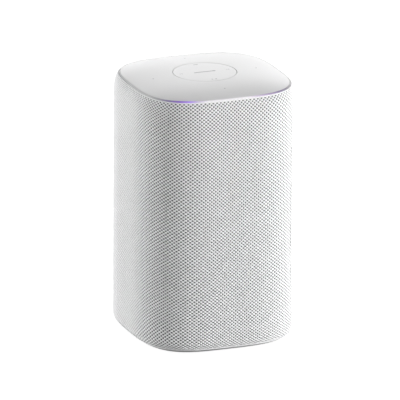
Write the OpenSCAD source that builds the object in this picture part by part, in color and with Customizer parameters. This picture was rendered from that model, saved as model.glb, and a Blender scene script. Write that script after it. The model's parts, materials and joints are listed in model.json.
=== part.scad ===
// Tabletop smart speaker: rounded-square tower in a knitted sleeve, crowned top with a round key.
// Millimetres. Origin at the centre of the footprint on the tabletop, +Z up, front towards -Y.

/* [Overall size] */
// Width and depth of the sleeve
body_w = 122; // [121:0.5:124]
// Height from the tabletop to the crown of the top
body_h = 198; // [197:0.5:202]
// Thickness of the knitted sleeve
fabric_t = 1.4; // [1.2:0.1:1.6]

/* [Outline] */
// Exponent of the rounded-square plan outline
corner_n = 3.45; // [3.3:0.05:3.8]
// Radius added round the plan outline
corner_r = 9.8; // [9.4:0.2:11]
// Height of the rounded shoulder below the rim
shoulder_v = 13.2; // [12.6:0.1:13.6]
// Depth of the rounded shoulder, inwards
shoulder_h = 5.4; // [5.2:0.1:5.8]
// Height of the tuck-in at the foot
tuck_v = 11.5; // [11:0.1:12]
// Depth of the tuck-in at the foot, inwards
tuck_h = 24.6; // [24:0.2:26]

/* [Top] */
// Rise of the crowned cover over its rim
crown = 3.6; // [3.2:0.1:4]
// Radius of the round key
key_r = 23.1; // [22.6:0.1:23.4]
// Gap between the key and the cover
key_gap = 0.35; // [0.3:0.05:0.5]
// Press travel of the key
key_travel = 0.6; // [0.4:0.1:0.8]

/* [Bass driver] */
// Radius of the driver's mounting flange
woofer_r = 40; // [39:0.5:40]
// Height of the driver's axis over the tabletop
woofer_z = 86; // [84:1:88]
// Radius of the pole piece
pole_r = 12.5; // [12.4:0.05:12.6]

/* [Passive radiators] */
// Radius of the radiator's frame
rad_r = 36; // [35:0.5:36]
// Height of the radiators' axis
rad_z = 86; // [84:1:90]

/* [Tweeters] */
// Sideways distance of each tweeter from the middle
tw_x = 20; // [19:0.5:21]
// Height of the tweeters' axes
tw_z = 146; // [145:0.5:147]

/* [Hidden] */

half = body_w/2;
rim_z = body_h - crown;        // plane of the cover's rim
NS = 96;                       // points round the visible outline
NI = 64;                       // points round the inner outlines
crown_m = 3.2;                 // exponent of the crown's fall towards the rim
rim_ins = 4.75;                // inset of the cover's edge from the outline
strip_ins = 3.45;              // inset of the light strip's lower edge
hem_z = 5.6;                   // lower edge of the sleeve
fr_ins = fabric_t + 0.2;       // inset of the cage under the sleeve
baffle_y = 46;                 // front face of the baffle, towards -Y
side_x = 47;                   // outer face of the radiator walls
cab_z0 = 40;                   // acoustic box, lower face
cab_z1 = 165;                  // acoustic box, upper edge
in_z = 26;                     // height of the mains inlet
eps = 0.01;

// ---- outline ------------------------------------------------------------------------------
function sg(v) = v < 0 ? -1 : 1;
// Point of the plan outline at parameter angle t, moved inwards by ins
function sec(ins, t) = let(
    c = cos(t), s = sin(t),
    q = pow(pow(abs(c), corner_n) + pow(abs(s), corner_n), -1/corner_n),
    gx = sg(c)*pow(abs(q*c), corner_n - 1), gy = sg(s)*pow(abs(q*s), corner_n - 1),
    g = norm([gx, gy]))
  [(half - corner_r)*q*c + gx/g*(corner_r - ins), (half - corner_r)*q*s + gy/g*(corner_r - ins)];
function outline(ins, m) = [for (i = [0:m - 1]) sec(ins, 360*i/m)];
// Shoulder and tuck-in: inset and height of the sleeve's outer face at angle k, offset inwards by d
function shoulder(k, d = 0) = let(g = norm([shoulder_v*cos(k), shoulder_h*sin(k)]))
  [shoulder_h*(1 - cos(k)) + d*shoulder_v*cos(k)/g, rim_z - shoulder_v*(1 - sin(k)) - d*shoulder_h*sin(k)/g];
function tuck(k, d = 0) = let(g = norm([tuck_v*cos(k), tuck_h*sin(k)]))
  [tuck_h*(1 - cos(k)) + d*tuck_v*cos(k)/g, tuck_v*(1 - sin(k)) + d*tuck_h*sin(k)/g];
function shoulder_k(ins) = acos(1 - ins/shoulder_h);
function tuck_k(z) = asin(1 - z/tuck_v);
// Height of the crowned cover at the share rho of the way from the middle to the rim
function crown_z(rho) = rim_z + crown*(1 - pow(rho, crown_m));

// ---- shared shapes ------------------------------------------------------------------------
// Solid prism with the plan outline
module slab(ins, z0, z1, m = NI) translate([0, 0, z0]) linear_extrude(z1 - z0) polygon(outline(ins, m));
// Upright wall that follows the plan outline
module wall(ins_out, ins_in, z0, z1, m = NI) difference() {
  slab(ins_out, z0, z1, m);
  slab(ins_in, z0 - 1, z1 + 1, m);
}
// Closed band: a profile of [inset, height] points carried round the outline
module band(prof, m = NS) {
  n = len(prof);
  pts = [for (p = prof) for (i = [0:m - 1]) let(q = sec(p[0], 360*i/m)) [q[0], q[1], p[1]]];
  faces = [for (j = [0:n - 1]) for (i = [0:m - 1]) let(k = (j + 1) % n, l = (i + 1) % m)
      each [[j*m + i, k*m + i, k*m + l], [j*m + i, k*m + l, j*m + l]]];
  polyhedron(points = pts, faces = faces);
}
// Turned part round the Z axis from [radius, height] points
module turned(p) rotate_extrude($fn = 96) polygon(p);
// Turned part round an axis along Y through the bass driver; p = [radius, depth behind the baffle face]
module on_front(x, z) translate([x, -baffle_y, z]) rotate([-90, 0, 0]) children();
// The same on a side wall: s = -1 left, 1 right, depth counted inwards
module on_side(s, z) translate([s*side_x, 0, z]) rotate([0, -s*90, 0]) children();
module rod(r, z0, z1) translate([0, 0, z0]) cylinder(r = r, h = z1 - z0, $fn = 48);
// Pan-head screw with its point along -Z, head seated on z = 0
module screw(r, len, head_r, head_h) {
  difference() {
    union() {
      rod(r, -len, 0.5);
      rod(head_r, 0, head_h);
    }
    translate([0, 0, head_h - 0.9]) linear_extrude(2) square([head_r*1.1, 0.7], center = true);
    translate([0, 0, head_h - 0.9]) linear_extrude(2) square([0.7, head_r*1.1], center = true);
  }
}
// Round tube of radius r along points given by hand, with eight sides
module wire(path, r) {
  n = len(path);
  dir = [for (i = [0:n - 1]) let(d = path[min(i + 1, n - 1)] - path[max(i - 1, 0)]) d/norm(d)];
  pts = [for (i = [0:n - 1]) for (j = [0:7]) let(
      u0 = cross(dir[i], abs(dir[i][0]) > 0.8 ? [0, 1, 0] : [1, 0, 0]), u = u0/norm(u0), v = cross(dir[i], u))
      path[i] + r*(cos(45*j)*u + sin(45*j)*v)];
  faces = concat([[for (j = [0:7]) j]], [[for (j = [7:-1:0]) (n - 1)*8 + j]],
    [for (i = [0:n - 2]) for (j = [0:7]) let(k = (j + 1) % 8) each [[i*8 + j, (i + 1)*8 + j, (i + 1)*8 + k], [i*8 + j, (i + 1)*8 + k, i*8 + k]]]);
  polyhedron(points = pts, faces = faces);
}

// ---- foot and base ------------------------------------------------------------------------
module rubber_foot() color("#4a4a4c") wall(23, 30, 0, 2.3);
module base_plate() color("#b9b9bb") difference() {
  slab(17.5, 0.8, 3.6);
  wall(22.9, 30.1, 0, 2.35);
  for (x = [-18, 18]) for (y = [-18, 18]) translate([x, y, 0]) {
    rod(1.7, -1, 5);
    rod(3.4, -1, 2.0);
  }
}
module base_screws() color("#8d8f92") for (x = [-18, 18]) for (y = [-18, 18])
  translate([x, y, 2.0]) rotate([180, 0, 0]) screw(1.45, 7.5, 2.9, 1.1);
// Grey band under the sleeve, which also carries the sleeve's lower hem
module base_ring() color("#c4c4c6") {
  kh = tuck_k(hem_z);
  k0 = tuck_k(0.8);
  band(concat(
    [[17, 0.8]],
    [for (i = [0:5]) tuck(k0 + (kh + 0.8 - k0)*i/5)],
    [for (i = [0:5]) tuck((kh + 0.8)*(1 - i/5), fabric_t + 0.25)],
    [[5.6, tuck_v], [5.6, 8.1], [17, 8.1]]));
}
module lower_chassis() color("#2f3033") difference() {
  union() {
    difference() {
      union() {
        slab(17.5, 3.6, 9);
        slab(8.5, 8.2, 10.2);
      }
      slab(20, 6, 11);
    }
    wall(6, 8.6, 8.2, cab_z0);
    for (x = [-36, 36]) for (y = [-22, 22]) translate([x, y, 0]) rod(3.2, 5, 14);
    for (x = [-18, 18]) for (y = [-18, 18]) translate([x, y, 0]) rod(3.6, 5, 10.6);
    translate([-13, 42, 9]) cube([26, 11, in_z - 18.1]);
  }
  for (x = [-18, 18]) for (y = [-18, 18]) translate([x, y, 0]) rod(1.45, 3, 9.8);
  for (x = [-36, 36]) for (y = [-22, 22]) translate([x, y, 0]) rod(1.1, 8, 15);
  translate([-15.2, 45, in_z - 9.1]) cube([30.4, 20, 18.2]);
}

// ---- mains inlet and power supply ---------------------------------------------------------
// Plastic panel set into the sleeve at the back, round the inlet
module rear_panel() color("#bdbdbf") difference() {
  union() {
    translate([0, half - 0.02, in_z]) rotate([90, 0, 0]) linear_extrude(3.9) rounded(34, 24, 5);
    translate([0, half - 3.75, in_z]) rotate([90, 0, 0]) linear_extrude(1.5) rounded(38, 28, 6);
  }
  translate([0, half + 2, in_z]) rotate([90, 0, 0]) linear_extrude(12) rounded(22.4, 13.4, 4.2);
}
// Rounded rectangle from two bars and four corner discs
module rounded(w, h, r) {
  square([w - 2*r, h], center = true);
  square([w, h - 2*r], center = true);
  for (x = [-1, 1]) for (y = [-1, 1]) translate([x*(w/2 - r), y*(h/2 - r)]) circle(r = r, $fn = 40);
}
module eight(r) {
  for (x = [-4.3, 4.3]) translate([x, 0]) circle(r = r, $fn = 48);
  square([8.6, r*1.62], center = true);
}
module inlet_housing() color("#232427") difference() {
  union() {
    translate([0, half - 0.35, in_z]) rotate([90, 0, 0]) linear_extrude(13) rounded(22, 13, 4);
    translate([0, half - 5.3, in_z]) rotate([90, 0, 0]) linear_extrude(1.6) rounded(30, 18, 3);
  }
  translate([0, half + 1, in_z]) rotate([90, 0, 0]) linear_extrude(11.2) eight(4.35);
  for (x = [-4.3, 4.3]) translate([x, half, in_z]) rotate([90, 0, 0]) translate([0, 0, 9]) cylinder(r = 1.2, h = 9, $fn = 32);
}
module inlet_pins() color("#c9c6bd") for (x = [-4.3, 4.3]) translate([x, half - 2.2, in_z]) rotate([90, 0, 0]) {
  difference() {
    union() {
      cylinder(r = 1.15, h = 14, $fn = 32);
      translate([-0.9, -0.35, 13]) cube([1.8, 0.7, 4.6]);
    }
    translate([0, 0, -1]) difference() { cylinder(r = 2, h = 1.6, $fn = 32); translate([0, 0, -1]) cylinder(r1 = 0.2, r2 = 1.3, h = 3.4, $fn = 32); }
  }
}
module inlet_wires() {
  color("#a03a34") wire([[-4.3, 41, 26.4], [-4.3, 38.6, 26.2], [-5, 36.4, 24.2], [-6.6, 35, 20.9], [-8, 34.4, 18.4], [-8, 34.4, 15.65]], 0.8);
  color("#35507e") wire([[4.3, 41, 26.4], [4.3, 38.6, 26.2], [5, 36.4, 24.2], [6.6, 35, 20.9], [8, 34.4, 18.4], [8, 34.4, 15.65]], 0.8);
}
module power_board() color("#2c5a3c") difference() {
  translate([-41, -30, 14]) cube([82, 68, 1.6]);
  for (x = [-36, 36]) for (y = [-22, 22]) translate([x, y, 0]) rod(1.6, 13, 17);
}
module power_transformer() {
  color("#3a3a3c") translate([-16, -15, 15.6]) difference() {
    cube([26, 22, 19]);
    translate([4, -1, 4]) cube([5, 24, 11]);
    translate([17, -1, 4]) cube([5, 24, 11]);
  }
  color("#c8a24a") translate([-3, -4, 25.1]) difference() {
    translate([-4.95, -10.8, -5.4]) cube([9.9, 21.6, 10.8]);
    translate([-4.05, -13, -5.6]) cube([8.1, 26, 11.2]);
  }
}
module power_capacitors() color("#33415c") {
  translate([28, -8, 0]) rod(7.5, 15.6, 37);
  translate([28, 9.5, 0]) rod(6.3, 15.6, 32);
  translate([-28, 8, 0]) rod(5, 15.6, 31);
  translate([-28, -6, 0]) rod(5, 15.6, 31);
}

// ---- acoustic box -------------------------------------------------------------------------
module box_plan(ins, x, y) intersection() {
  polygon(outline(ins, NI));
  translate([-x, -y]) square([2*x, y + 70]);
}
module cabinet_shell() color("#26272a") difference() {
  translate([0, 0, cab_z0]) linear_extrude(cab_z1 - cab_z0) box_plan(6, side_x, baffle_y);
  translate([0, 0, cab_z0 + 3]) linear_extrude(cab_z1) box_plan(9, side_x - 4, baffle_y - 5);
  on_front(0, woofer_z) rod(34.6, -20, 20);
  for (a = [45:90:315]) on_front(0, woofer_z) rotate(a) translate([37.4, 0, 0]) rod(1.2, -20, 4.2);
  for (s = [-1, 1]) on_front(s*tw_x, tw_z) rod(12.6, -20, 20);
  for (s = [-1, 1]) on_side(s, rad_z) rod(32.6, -20, 20);
  for (s = [-1, 1]) for (a = [90, 270]) on_front(s*tw_x, tw_z) rotate(a) translate([13.9, 0, 0]) rod(0.65, -5, 4);
  for (s = [-1, 1]) for (a = [45:90:315]) on_side(s, rad_z) rotate(a) translate([34.3, 0, 0]) rod(0.65, -5, 3.2);
  at_lid() rod(0.75, 156, 170);
}
// The four places where the lid is screwed down
module at_lid() for (p = [[-28, -43.4], [28, -43.4], [-20, 53.4], [20, 53.4]]) translate([p[0], p[1], 0]) children();
module lid_gasket() color("#1d1d1f") difference() {
  translate([0, 0, cab_z1]) linear_extrude(0.8) difference() {
    box_plan(6.2, side_x - 0.4, baffle_y - 0.4);
    box_plan(9, side_x - 3.6, baffle_y - 4.8);
  }
  at_lid() rod(0.95, 160, 170);
}
module cabinet_lid() color("#303135") difference() {
  union() {
    translate([0, 0, cab_z1 + 0.8]) linear_extrude(3) box_plan(6, side_x, baffle_y);
    for (x = [-34, 34]) for (y = [-30, 30]) translate([x, y, 0]) rod(3, cab_z1 + 3, 174);
  }
  for (x = [-34, 34]) for (y = [-30, 30]) translate([x, y, 0]) rod(1, cab_z1 + 5, 175);
  at_lid() rod(0.95, 160, 172);
}
module case_screws() color("#8d8f92") {
  at_lid() translate([0, 0, cab_z1 + 3.8]) screw(0.7, 9, 1.5, 1);
  for (x = [-34, 34]) for (y = [-30, 30]) translate([x, y, 175.6]) screw(0.95, 5, 2.2, 1.2);
}
module damping_wadding() color("#dadada") translate([-28, 20, 43]) cube([56, 26, 109]);

// ---- bass driver, turned round its own axis; depth runs into the box ------------------------
module woofer_gasket() color("#1d1d1f") on_front(0, woofer_z) difference() {
  turned([[34.8, -0.8], [woofer_r, -0.8], [woofer_r, 0], [34.8, 0]]);
  for (a = [45:90:315]) rotate(a) translate([37.4, 0, 0]) rod(1.5, -5, 5);
}
module woofer_basket() color("#3b3c40") on_front(0, woofer_z) difference() {
  turned([[33.4, -2.8], [woofer_r, -2.8], [woofer_r, -0.8], [34.3, -0.8], [34.3, 2], [31.2, 22], [31.2, 24.2], [17, 24.2], [17, 22.2], [28.9, 22.2], [31.9, 2], [31.9, 0.4], [33.4, 0.4]]);
  for (a = [0:60:300]) rotate(a) translate([20, -7, 4]) cube([20, 14, 16.5]);
  for (a = [45:90:315]) rotate(a) translate([37.4, 0, 0]) rod(1.5, -5, 5);
}
module driver_screws() color("#8d8f92") {
  on_front(0, woofer_z) for (a = [45:90:315]) rotate(a) translate([37.4, 0, -2.8]) rotate([180, 0, 0]) screw(1.15, 6.8, 2.3, 1.3);
  for (s = [-1, 1]) for (a = [90, 270]) on_front(s*tw_x, tw_z) rotate(a) translate([13.9, 0, -2.2]) rotate([180, 0, 0]) screw(0.6, 5.6, 1.2, 0.95);
  for (s = [-1, 1]) for (a = [45:90:315]) on_side(s, rad_z) rotate(a) translate([34.3, 0, -2.4]) rotate([180, 0, 0]) screw(0.6, 5.2, 1.2, 0.95);
}
module woofer_top_plate() color("#9a9ca0") on_front(0, woofer_z) turned([[pole_r + 2, 24.2], [27, 24.2], [27, 28.2], [pole_r + 2, 28.2]]);
module woofer_magnet() color("#2b2b2d") on_front(0, woofer_z) turned([[18, 28.2], [29.5, 28.2], [29.5, 40.2], [18, 40.2]]);
module woofer_yoke() color("#9a9ca0") on_front(0, woofer_z) turned([[0, 24], [pole_r, 24], [pole_r, 40.2], [27, 40.2], [27, 44.2], [0, 44.2]]);
module woofer_voice_coil() on_front(0, woofer_z) {
  color("#c9b28a") turned([[pole_r + 0.45, 11], [pole_r + 0.65, 11], [pole_r + 0.65, 23.3], [pole_r + 1.45, 23.3], [pole_r + 1.45, 29.6], [pole_r + 0.45, 29.6]]);
}
module woofer_cone() color("#1f2023") on_front(0, woofer_z) turned([[26.4, -1.6], [27.6, -1.6], [27.6, -0.9], [26.9, -0.6], [pole_r + 1.7, 11.8], [pole_r + 0.65, 11.8], [pole_r + 0.65, 11]]);
module woofer_dust_cap() color("#2a2b2e") on_front(0, woofer_z) turned(concat([for (i = [0:6]) [(pole_r + 1.6)*sin(15*i), 11 - 1.3 - 6*cos(15*i)]], [for (i = [6:-1:0]) [(pole_r + 1.1)*sin(15*i), 11 - 0.95 - 5.8*cos(15*i)]]));
module woofer_surround() color("#17181a") on_front(0, woofer_z) turned(concat([[33.4, -2.8 - 0.6]],
  [for (i = [0:8]) [30.4 + 2.5*cos(22.5*i), -2.8 - 2.6*sin(22.5*i) - 0.6*sin(22.5*i)]],
  [[26.6, -2.8], [26.6, -1.6], [27.6, -1.6], [27.6, -2.1]], [for (i = [8:-1:0]) [30.4 + 1.9*cos(22.5*i), -2.1 - 2.4*sin(22.5*i)]], [[33.4, -2.1]]));
module woofer_spider() color("#b58d3d") on_front(0, woofer_z) turned(concat(
  [for (i = [0:20]) [pole_r + 0.65 + (28.9 - pole_r - 0.65)*i/20, 20.2 + 0.8*sin(i*90)]],
  [for (i = [20:-1:0]) [pole_r + 0.65 + (28.9 - pole_r - 0.65)*i/20, 20.8 + 0.8*sin(i*90)]]));

// ---- tweeters -----------------------------------------------------------------------------
module tweeter_frame(x) color("#2e2f33") on_front(x, tw_z) difference() {
  turned([[10.6, -2.2], [15.5, -2.2], [15.5, 0], [12.4, 0], [12.4, 6], [8.2, 6], [8.2, 4.6], [10.6, 4.6]]);
  for (a = [90, 270]) rotate(a) translate([13.9, 0, 0]) rod(0.8, -5, 5);
}
module tweeter_magnet(x) color("#8f9196") on_front(x, tw_z) turned([[0, 4.2], [5.4, 4.2], [5.4, 9], [7, 9], [7, 6], [12, 6], [12, 14], [0, 14]]);
module tweeter_dome(x) color("#26262a") on_front(x, tw_z) turned(concat(
  [for (i = [0:6]) [8.2*sin(15*i), 0.9 - 3*cos(15*i)]], [[8.2, 1.2], [6.6, 1.2], [6.6, 7.6], [5.9, 7.6], [5.9, 1.0]], [for (i = [4:-1:0]) [7.8*sin(15*i)*0.9, 1.2 - 2.9*cos(15*i)]]));
module tweeter_surround(x) color("#1a1a1c") on_front(x, tw_z) turned(concat(
  [for (i = [0:6]) [9.4 - 1.2*cos(30*i), 0.6 - 1.2*sin(30*i)]], [for (i = [6:-1:0]) [9.4 - 0.85*cos(30*i), 1.0 - 1.15*sin(30*i)]]));

// ---- passive radiators --------------------------------------------------------------------
module radiator_frame(s) color("#35363a") on_side(s, rad_z) difference() {
  turned([[31, -2.4], [rad_r, -2.4], [rad_r, 0], [32.4, 0], [32.4, 3], [31, 3]]);
  for (a = [45:90:315]) rotate(a) translate([34.3, 0, 0]) rod(0.8, -5, 5);
}
module radiator_plate(s) color("#a3a5a9") on_side(s, rad_z) turned([[0, -0.8], [22, -0.8], [23.5, 0.2], [23.5, 1.4], [13, 1.4], [13, 4.2], [0, 4.2]]);
module radiator_surround(s) color("#17181a") on_side(s, rad_z) turned(concat([[31, 0.2], [31, 0.9]],
  [for (i = [0:8]) [27.3 + 2.8*cos(22.5*i), 0.9 - 3.0*sin(22.5*i)]], [[23.5, 0.9], [23.5, 0.2]], [for (i = [8:-1:0]) [27.3 + 3.4*cos(22.5*i), 0.2 - 3.0*sin(22.5*i)]]));

// ---- electronics over the box -------------------------------------------------------------
module main_board() color("#23523a") difference() {
  translate([-40, -36, 174]) cube([80, 74, 1.6]);
  for (x = [-34, 34]) for (y = [-30, 30]) translate([x, y, 0]) rod(1.25, 173, 177);
}
module main_board_parts() {
  color("#b8bbc0") translate([-20, -14, 175.6]) cube([20, 20, 2.2]);
  color("#1c1c1e") {
    translate([8, -20, 175.6]) cube([9, 9, 1.1]);
    translate([8, -6, 175.6]) cube([12, 8, 1.1]);
    translate([24, -16, 175.6]) cube([7, 7, 4]);
    translate([24, -4, 175.6]) cube([7, 7, 4]);
  }
  color("#4a4f5a") for (x = [10, 19]) translate([x, 14, 0]) rod(3, 175.6, 181.2);
  color("#e6e2d5") translate([-10, 27.4, 175.6]) cube([20, 4.6, 2.4]);
}
module heat_sink() color("#a9adb3") difference() {
  translate([-20, -14, 177.8]) cube([20, 20, 5]);
  for (i = [0:4]) translate([-18.2 + 3.9*i, -15, 179.2]) cube([2.1, 22, 5]);
}
module antenna_boards() color("#2b6b4a") for (s = [-1, 1]) translate([s*45 - 0.5, -9, 168.8]) cube([1, 18, 12]);
module ribbon_cable() color("#dcdcde") translate([8, 0, 0]) rotate([90, 0, -90]) linear_extrude(16)
  polygon([[-32, 178], [-33.6, 178.4], [-34.4, 180], [-34.4, 183], [-33.8, 184.6], [-32, 185.4], [-28, 185.4], [-28, 185.6], [-32.2, 185.6], [-34, 184.9], [-34.7, 183.2], [-34.7, 179.8], [-33.8, 178.2], [-32, 177.7]]);

// ---- top assembly -------------------------------------------------------------------------
module top_frame() color("#e4e4e6") difference() {
  union() {
    // carrier that holds the sleeve's upper hem and the boards
    band(concat(
      [[8.6, 181.6]], [[fabric_t + 0.35, 181.6]],
      [for (i = [1:4]) shoulder(50*i/4, fabric_t + 0.3)],
      [[4.7, 190.3], [8.6, 189.6]]));
    slab(8, 183, 184.2);
    rod(28.2, 183.5, 185.6);
    for (a = [30:120:270]) rotate(a) translate([19, 0, 0]) rod(2.9, 183.5, 192);
    for (a = [0:90:270]) rotate(a) translate([44, 0, 0]) rod(2, 183.5, 185.6);
  }
  for (a = [30:120:270]) rotate(a) translate([19, 0, 0]) rod(1.65, 180, 194);
  translate([-11, 25.5, 180]) cube([22, 12, 6]);
  for (a = [45:90:315]) rotate(a) translate([48, 0, 0]) rod(1.2, 180, 190);
}
module touch_board() color("#1f4d38") translate([0, 0, 185.6]) linear_extrude(1.2) difference() {
  polygon(outline(17, NI));
  for (a = [30:120:270]) rotate(a) translate([19, 0]) circle(r = 3.1, $fn = 40);
}
module microphones() color("#c2a04e") for (a = [0:90:270]) rotate(a) translate([40 - 1.9, -1.4, 186.8]) cube([3.8, 2.8, 1.1]);
module tact_switch() color("#2b2b2d") translate([0, 0, 186.8]) difference() {
  translate([-3, -3, 0]) cube([6, 6, 3.4]);
  rod(1.8, 1.6, 4);
}
module switch_stem() color("#c9c9cc") rod(1.7, 189.5, 191.4);
module led_board() color("#e9e9ea") difference() {
  wall(9.2, 16.6, 185.6, 186.8);
}
module leds() color("#f4efd8") for (i = [0:35]) let(t = 10*i + 5, p = sec(12, t)) translate([p[0] - 1.4, p[1] - 1.4, 186.8]) cube([2.8, 2.8, 0.9]);
// Light guide: a lip that shows between the sleeve and the cover, on a flange over the lamps
module light_ring() color("#eef0f6") {
  ka = shoulder_k(strip_ins); kb = shoulder_k(rim_ins - 0.15);
  a0 = shoulder(ka); a1 = shoulder((ka + kb)/2); a2 = shoulder(kb);
  band([[13.5, 188.4], [10.3, 188.4], [9.2, 190], [5.3, 190.7], [4.56, 192.3], a0, a1, a2, [6.95, 191.85], [13.5, 191.85]]);
}
key_hole = key_r + key_gap;
edge_drop = rim_z - shoulder(shoulder_k(rim_ins))[1];
// Point of the cover: share s of the way from the key's hole to the rim, moved inwards by d and down by drop
function top_pt(i, s, d, drop) = let(
    q = sec(rim_ins, 360*i/NS), R = norm(q), r0 = key_hole + (R - key_hole)*s, r = r0 - d)
  [q[0]/R*r, q[1]/R*r, crown_z(r0/R) - edge_drop*pow(r0/R, 8) - drop];
module top_panel() color("#dcdde0") {
  prof = concat(
    [for (s = [0, 0.08, 0.25, 0.42, 0.57, 0.7, 0.8, 0.88, 0.95, 1]) [s, 0, 0]],
    [[1, 2.2, 2.2]],
    [for (s = [0.9, 0.7, 0.45, 0.2, 0]) [s, 0, 2.2]]);
  n = len(prof);
  pts = [for (p = prof) for (i = [0:NS - 1]) top_pt(i, p[0], p[1], p[2])];
  faces = [for (j = [0:n - 1]) for (i = [0:NS - 1]) let(k = (j + 1) % n, l = (i + 1) % NS)
      each [[j*NS + i, k*NS + l, k*NS + i], [j*NS + i, j*NS + l, k*NS + l]]];
  polyhedron(points = pts, faces = faces);
}
// Round key: crowned disc on a retaining flange, with a plunger over the switch and three guide pins
module action_key() color("#e3e4e7") {
  R = 58.5;
  turned(concat(
    [for (i = [0:8]) let(r = key_r*i/8) [r, crown_z(r/R)]],
    [[key_r, 194.7], [key_r + 1.6, 194.7], [key_r + 1.6, 193.5], [0, 193.5]]));
  rod(1.6, 191.4, 194);
  for (a = [30:120:270]) rotate(a) translate([19, 0, 0]) rod(1.6, 184.6, 194);
}
// Silicone return spring under the flange
module key_spring() color("#c8c8cc") turned([[25.4, 186.8], [27.6, 186.8], [27.4, 187.8], [24.3, 193.5], [22.9, 193.5], [25.4, 188.4]]);

// ---- cage and sleeve ----------------------------------------------------------------------
module grille_frame() color("#d7d7d9") difference() {
  wall(fr_ins, fr_ins + 2, tuck_v, 181.6, 72);
  // openings over the drivers, the radiators and the back
  for (z = [42, 78, 114, 148]) for (x = [-38, 2]) translate([x, -70, z]) cube([36, 50, 32]);
  for (z = [42, 78, 114]) for (y = [-38, 2]) translate([-70, y, z]) cube([140, 36, 32]);
  for (z = [42, 78, 114, 148]) for (x = [-38, 2]) translate([x, 20, z]) cube([36, 50, 32]);
  translate([-19.3, 40, in_z - 14.3]) cube([38.6, 30, 28.6]);
}
module fabric_sleeve() color("#e8e8ea") difference() {
  kh = tuck_k(hem_z); ks = shoulder_k(strip_ins) - 2;
  band(concat(
    [for (i = [0:4]) tuck(kh*(1 - i/4))],
    [[0, tuck_v + 55], [0, tuck_v + 115]],
    [for (i = [0:6]) shoulder(ks*i/6)],
    [for (i = [6:-1:0]) shoulder(ks*i/6, fabric_t)],
    [[fabric_t, tuck_v + 115], [fabric_t, tuck_v + 55]],
    [for (i = [4:-1:0]) tuck(kh*(1 - i/4), fabric_t)]));
  translate([-17.2, half - 12, in_z - 12.2]) cube([34.4, 20, 24.4]);
}

rubber_foot();
base_plate();
base_ring();
base_screws();
lower_chassis();
rear_panel();
inlet_housing();
inlet_pins();
inlet_wires();
power_board();
power_transformer();
power_capacitors();
cabinet_shell();
cabinet_lid();
lid_gasket();
case_screws();
damping_wadding();
woofer_basket();
woofer_magnet();
woofer_top_plate();
woofer_yoke();
woofer_cone();
woofer_dust_cap();
woofer_voice_coil();
woofer_surround();
woofer_spider();
woofer_gasket();
driver_screws();
tweeter_frame(-tw_x);  // tweeter_left_frame
tweeter_magnet(-tw_x);  // tweeter_left_magnet
tweeter_dome(-tw_x);  // tweeter_left_dome
tweeter_surround(-tw_x);  // tweeter_left_surround
tweeter_frame(tw_x);  // tweeter_right_frame
tweeter_magnet(tw_x);  // tweeter_right_magnet
tweeter_dome(tw_x);  // tweeter_right_dome
tweeter_surround(tw_x);  // tweeter_right_surround
radiator_frame(-1);  // radiator_left_frame
radiator_plate(-1);  // radiator_left_plate
radiator_surround(-1);  // radiator_left_surround
radiator_frame(1);  // radiator_right_frame
radiator_plate(1);  // radiator_right_plate
radiator_surround(1);  // radiator_right_surround
main_board();
main_board_parts();
heat_sink();
antenna_boards();
ribbon_cable();
top_frame();
led_board();
leds();
touch_board();
microphones();
tact_switch();
switch_stem();
key_spring();
light_ring();
top_panel();
action_key();
grille_frame();
fabric_sleeve();
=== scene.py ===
import json
import math

import bpy
import numpy as np
from mathutils import Matrix, Quaternion, Vector


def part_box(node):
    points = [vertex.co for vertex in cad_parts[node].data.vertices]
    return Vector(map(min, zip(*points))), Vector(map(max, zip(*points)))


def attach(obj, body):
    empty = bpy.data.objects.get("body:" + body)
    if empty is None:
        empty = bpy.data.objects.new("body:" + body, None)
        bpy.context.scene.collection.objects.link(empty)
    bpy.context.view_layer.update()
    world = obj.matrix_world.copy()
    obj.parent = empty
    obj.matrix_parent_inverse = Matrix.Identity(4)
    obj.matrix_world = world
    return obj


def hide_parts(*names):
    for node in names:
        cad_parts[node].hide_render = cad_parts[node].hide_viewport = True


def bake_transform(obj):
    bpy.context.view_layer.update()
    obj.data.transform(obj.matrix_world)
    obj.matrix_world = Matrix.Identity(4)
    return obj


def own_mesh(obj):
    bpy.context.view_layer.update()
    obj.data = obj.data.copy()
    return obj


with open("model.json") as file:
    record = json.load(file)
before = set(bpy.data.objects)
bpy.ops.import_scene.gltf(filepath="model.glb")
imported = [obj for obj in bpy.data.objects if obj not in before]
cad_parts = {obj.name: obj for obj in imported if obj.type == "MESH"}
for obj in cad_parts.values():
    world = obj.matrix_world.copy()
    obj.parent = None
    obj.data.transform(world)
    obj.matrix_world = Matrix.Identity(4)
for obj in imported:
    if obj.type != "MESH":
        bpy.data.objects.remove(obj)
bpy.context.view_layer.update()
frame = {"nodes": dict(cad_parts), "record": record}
nodes = frame["nodes"]
MM = 0.001

# ============================================================ camera
scene = bpy.context.scene
AZ, EL, ROLL = math.radians(-21.24), math.radians(17.455), math.radians(0.3)
DIST, PX_PER_MM = 8.5, 1.374
back = Vector((math.sin(AZ) * math.cos(EL), -math.cos(AZ) * math.cos(EL), math.sin(EL)))
right = Vector((math.cos(AZ), math.sin(AZ), 0))
up = back.cross(right)
cam_data = bpy.data.cameras.new("camera")
cam = bpy.data.objects.new("camera", cam_data)
scene.collection.objects.link(cam)
cam_data.sensor_width = 36
cam_data.lens = PX_PER_MM * 1000 * DIST * 36 / 400
cam_data.clip_start, cam_data.clip_end = 1, 40
centre = Vector((0, 0, 97.3 * MM))
cam.location = centre + back * DIST - right * (4.06 / PX_PER_MM * MM) + up * (4.1 / PX_PER_MM * MM)
cam.rotation_mode = "QUATERNION"
cam.rotation_quaternion = (-back).to_track_quat("-Z", "Y") @ Quaternion((0, 0, 1), ROLL)
scene.camera = cam

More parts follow.
